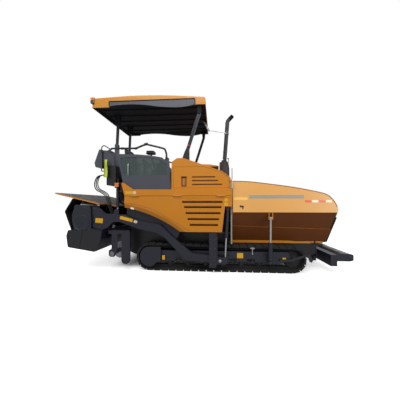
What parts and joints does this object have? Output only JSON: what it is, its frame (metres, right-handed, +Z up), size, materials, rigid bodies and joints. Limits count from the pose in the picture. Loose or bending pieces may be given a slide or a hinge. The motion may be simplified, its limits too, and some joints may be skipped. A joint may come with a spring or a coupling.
{
  "type": "tracked asphalt paver",
  "caption": "Tracked road paver: front hopper with folding wings, slat conveyors, augers, raised screed on tow arms, and an operator deck under a folding canopy.",
  "frame": {"origin": "on the ground under the middle of the whole machine, with the screed raised", "axes": "+X forwards to the push rollers, +Y to the machine's left, +Z up"},
  "size_m": [6.6326, 2.556, 4.0425],
  "materials": {
    "orange_paint": "gloss",
    "slate_paint": "satin",
    "dark_paint": "satin",
    "grey_paint": "satin",
    "track_rubber": "matt",
    "hose_rubber": "satin",
    "wheel_steel": "matt",
    "worn_steel": "worn",
    "rod_chrome": "polished",
    "engine_iron": "matt",
    "window_tint": "gloss",
    "seat_cover": "matt",
    "moulded_grey": "matt",
    "canopy_orange": "gloss",
    "canopy_grey": "satin",
    "canopy_lining": "matt",
    "exhaust_steel": "satin",
    "lamp_orange": "gloss"
  },
  "bodies": {
    "machine": {"track_left": "track_rubber", "track_right": "track_rubber", "track_wheels": "wheel_steel", "final_drives": "slate_paint", "track_frames": "slate_paint", "main_frame": "dark_paint", "platform": "dark_paint", "conveyors": "worn_steel", "hopper_bulkhead": "dark_paint", "tow_guides": "slate_paint", "auger_frame": "slate_paint", "side_panels": "orange_paint", "engine_hood": "orange_paint", "engine_block": "engine_iron", "side_screens": "grey_paint", "side_windows": "window_tint", "rear_toolbox": "dark_paint", "rear_cabinet": "grey_paint", "console": "moulded_grey", "seat_bases": "moulded_grey", "seat_cushions": "seat_cover", "handrails": "slate_paint", "marker_lamps": "lamp_orange", "muffler": "exhaust_steel", "rear_hoses": "hose_rubber"},
    "wing_left": {"wing_left": "orange_paint"},
    "wing_right": {"wing_right": "orange_paint"},
    "wing_barrel_left": {"wing_ram_barrel_left": "slate_paint"},
    "wing_barrel_right": {"wing_ram_barrel_right": "slate_paint"},
    "wing_rod_left": {"wing_ram_rod_left": "rod_chrome"},
    "wing_rod_right": {"wing_ram_rod_right": "rod_chrome"},
    "tow_points": {"tow_carriages": "slate_paint"},
    "level_barrels": {"level_ram_barrels": "slate_paint"},
    "level_rods": {"level_ram_rods": "rod_chrome"},
    "screed": {"tow_arms": "slate_paint", "screed_body": "slate_paint", "screed_housings": "slate_paint", "screed_end_plates": "dark_paint", "screed_rear_guard": "dark_paint", "screed_carrier": "dark_paint", "screed_walkway": "orange_paint"},
    "lift_barrels": {"lift_ram_barrels": "slate_paint"},
    "lift_rods": {"lift_ram_rods": "rod_chrome"},
    "auger_left": {"auger_left": "worn_steel"},
    "auger_right": {"auger_right": "worn_steel"},
    "push_beam": {"push_beam": "slate_paint"},
    "push_roller_left": {"push_roller_left": "worn_steel"},
    "push_roller_right": {"push_roller_right": "worn_steel"},
    "side_door_left": {"side_door_left": "orange_paint"},
    "side_door_right": {"side_door_right": "orange_paint"},
    "hood_door_left": {"hood_door_left": "orange_paint"},
    "hood_door_right": {"hood_door_right": "orange_paint"},
    "front_posts": {"front_posts": "slate_paint"},
    "rear_posts": {"rear_posts": "slate_paint"},
    "canopy": {"canopy_roof": "canopy_orange", "canopy_side_bands": "canopy_grey", "canopy_lining": "canopy_lining"},
    "exhaust_pipe": {"exhaust_pipe": "exhaust_steel"},
    "exhaust_link": {"exhaust_link": "worn_steel"}
  },
  "joints": [
    {"name": "wing_left_fold", "type": "hinge", "parent": "machine", "child": "wing_left", "pos_m": [1.8, 0.76, 0.625], "axis": [-1, 0, 0], "range_deg": [0, 38]},
    {"name": "wing_barrel_left_swing", "type": "hinge", "parent": "machine", "child": "wing_barrel_left", "pos_m": [1.555, 1.18, 0.25], "axis": [-1, 0, 0], "range_deg": [0, 26]},
    {"name": "wing_rod_left_slide", "type": "slide", "parent": "wing_barrel_left", "child": "wing_rod_left", "axis": [0, 0.05, 0.9987], "range_m": [-0.33, 0]},
    {"name": "wing_right_fold", "type": "hinge", "parent": "machine", "child": "wing_right", "pos_m": [1.8, -0.76, 0.625], "axis": [1, 0, 0], "range_deg": [0, 38]},
    {"name": "wing_barrel_right_swing", "type": "hinge", "parent": "machine", "child": "wing_barrel_right", "pos_m": [1.555, -1.18, 0.25], "axis": [1, 0, 0], "range_deg": [0, 26]},
    {"name": "wing_rod_right_slide", "type": "slide", "parent": "wing_barrel_right", "child": "wing_rod_right", "axis": [0, -0.05, 0.9987], "range_m": [-0.33, 0]},
    {"name": "tow_point_lift", "type": "slide", "parent": "machine", "child": "tow_points", "axis": [0, 0, 1], "range_m": [0, 0.15]},
    {"name": "level_barrel_swing", "type": "hinge", "parent": "machine", "child": "level_barrels", "pos_m": [0.652, 0, 1.38], "axis": [0, 1, 0], "range_deg": [0, 1]},
    {"name": "level_rod_slide", "type": "slide", "parent": "level_barrels", "child": "level_rods", "axis": [-0.0549, 0, -0.9985], "range_m": [-0.151, 0]},
    {"name": "screed_lift", "type": "hinge", "parent": "tow_points", "child": "screed", "pos_m": [0.481, 0, 0.28], "axis": [0, 1, 0], "range_deg": [-8.6, 0]},
    {"name": "lift_barrel_swing", "type": "hinge", "parent": "machine", "child": "lift_barrels", "pos_m": [-1.87, 0, 1.9], "axis": [0, 1, 0], "range_deg": [0, 9.2]},
    {"name": "lift_rod_slide", "type": "slide", "parent": "lift_barrels", "child": "lift_rods", "axis": [0, 0, -1], "range_m": [0, 0.37]},
    {"name": "auger_left_spin", "type": "hinge", "parent": "machine", "child": "auger_left", "pos_m": [-1.985, 0.6, 0.365], "axis": [0, 1, 0], "continuous": true},
    {"name": "auger_right_spin", "type": "hinge", "parent": "machine", "child": "auger_right", "pos_m": [-1.985, -0.6, 0.365], "axis": [0, 1, 0], "continuous": true},
    {"name": "push_beam_swing", "type": "hinge", "parent": "machine", "child": "push_beam", "pos_m": [2.808, 0, 0.245], "axis": [0, 0, 1], "range_deg": [-5, 5]},
    {"name": "push_roller_left_spin", "type": "hinge", "parent": "push_beam", "child": "push_roller_left", "pos_m": [3.239, 0.55, 0.362], "axis": [0, 1, 0], "continuous": true},
    {"name": "push_roller_right_spin", "type": "hinge", "parent": "push_beam", "child": "push_roller_right", "pos_m": [3.239, -0.55, 0.362], "axis": [0, 1, 0], "continuous": true},
    {"name": "side_door_left_open", "type": "hinge", "parent": "machine", "child": "side_door_left", "pos_m": [-0.45, 1.262, 1.684], "axis": [1, 0, 0], "range_deg": [0, 75]},
    {"name": "hood_door_left_open", "type": "hinge", "parent": "machine", "child": "hood_door_left", "pos_m": [0.694, 1.209, 2], "axis": [0, 0, -1], "range_deg": [0, 88]},
    {"name": "side_door_right_open", "type": "hinge", "parent": "machine", "child": "side_door_right", "pos_m": [-0.45, -1.262, 1.684], "axis": [-1, 0, 0], "range_deg": [0, 75]},
    {"name": "hood_door_right_open", "type": "hinge", "parent": "machine", "child": "hood_door_right", "pos_m": [0.694, -1.209, 2], "axis": [0, 0, 1], "range_deg": [0, 88]},
    {"name": "canopy_fold", "type": "hinge", "parent": "machine", "child": "front_posts", "pos_m": [-0.263, 0, 2.76], "axis": [0, 1, 0], "range_deg": [0, 45]},
    {"name": "rear_posts_fold", "type": "hinge", "parent": "machine", "child": "rear_posts", "pos_m": [-2.224, 0, 3.05], "axis": [0, 1, 0], "range_deg": [0, 63]},
    {"name": "canopy_level", "type": "hinge", "parent": "front_posts", "child": "canopy", "pos_m": [0.012, 0, 3.621], "axis": [0, 1, 0], "range_deg": [-43, 0]},
    {"name": "exhaust_fold", "type": "hinge", "parent": "machine", "child": "exhaust_pipe", "pos_m": [0.649, 0.1, 2.795], "axis": [0, 1, 0], "range_deg": [0, 56]},
    {"name": "exhaust_link_swing", "type": "hinge", "parent": "canopy", "child": "exhaust_link", "pos_m": [0.21, 0.025, 3.547], "axis": [0, 1, 0], "range_deg": [-20, 0]}
  ],
  "couplings": [
    {"joint": "wing_barrel_left_swing", "follows": "wing_left_fold", "ratio": 0.68055},
    {"joint": "wing_rod_left_slide", "follows": "wing_left_fold", "m_per_rad": -0.4934},
    {"joint": "wing_barrel_right_swing", "follows": "wing_right_fold", "ratio": 0.68055},
    {"joint": "wing_rod_right_slide", "follows": "wing_right_fold", "m_per_rad": -0.4934},
    {"joint": "level_barrel_swing", "follows": "tow_point_lift", "rad_per_m": 0.05667},
    {"joint": "level_rod_slide", "follows": "tow_point_lift", "ratio": -0.99825},
    {"joint": "lift_barrel_swing", "follows": "screed_lift", "ratio": -1.0411},
    {"joint": "lift_rod_slide", "follows": "screed_lift", "m_per_rad": -2.4345},
    {"joint": "rear_posts_fold", "follows": "canopy_fold", "ratio": 1.38},
    {"joint": "canopy_level", "follows": "canopy_fold", "ratio": -0.94},
    {"joint": "exhaust_fold", "follows": "canopy_fold", "ratio": 1.2318},
    {"joint": "exhaust_link_swing", "follows": "canopy_fold", "ratio": -0.4328}
  ]
}
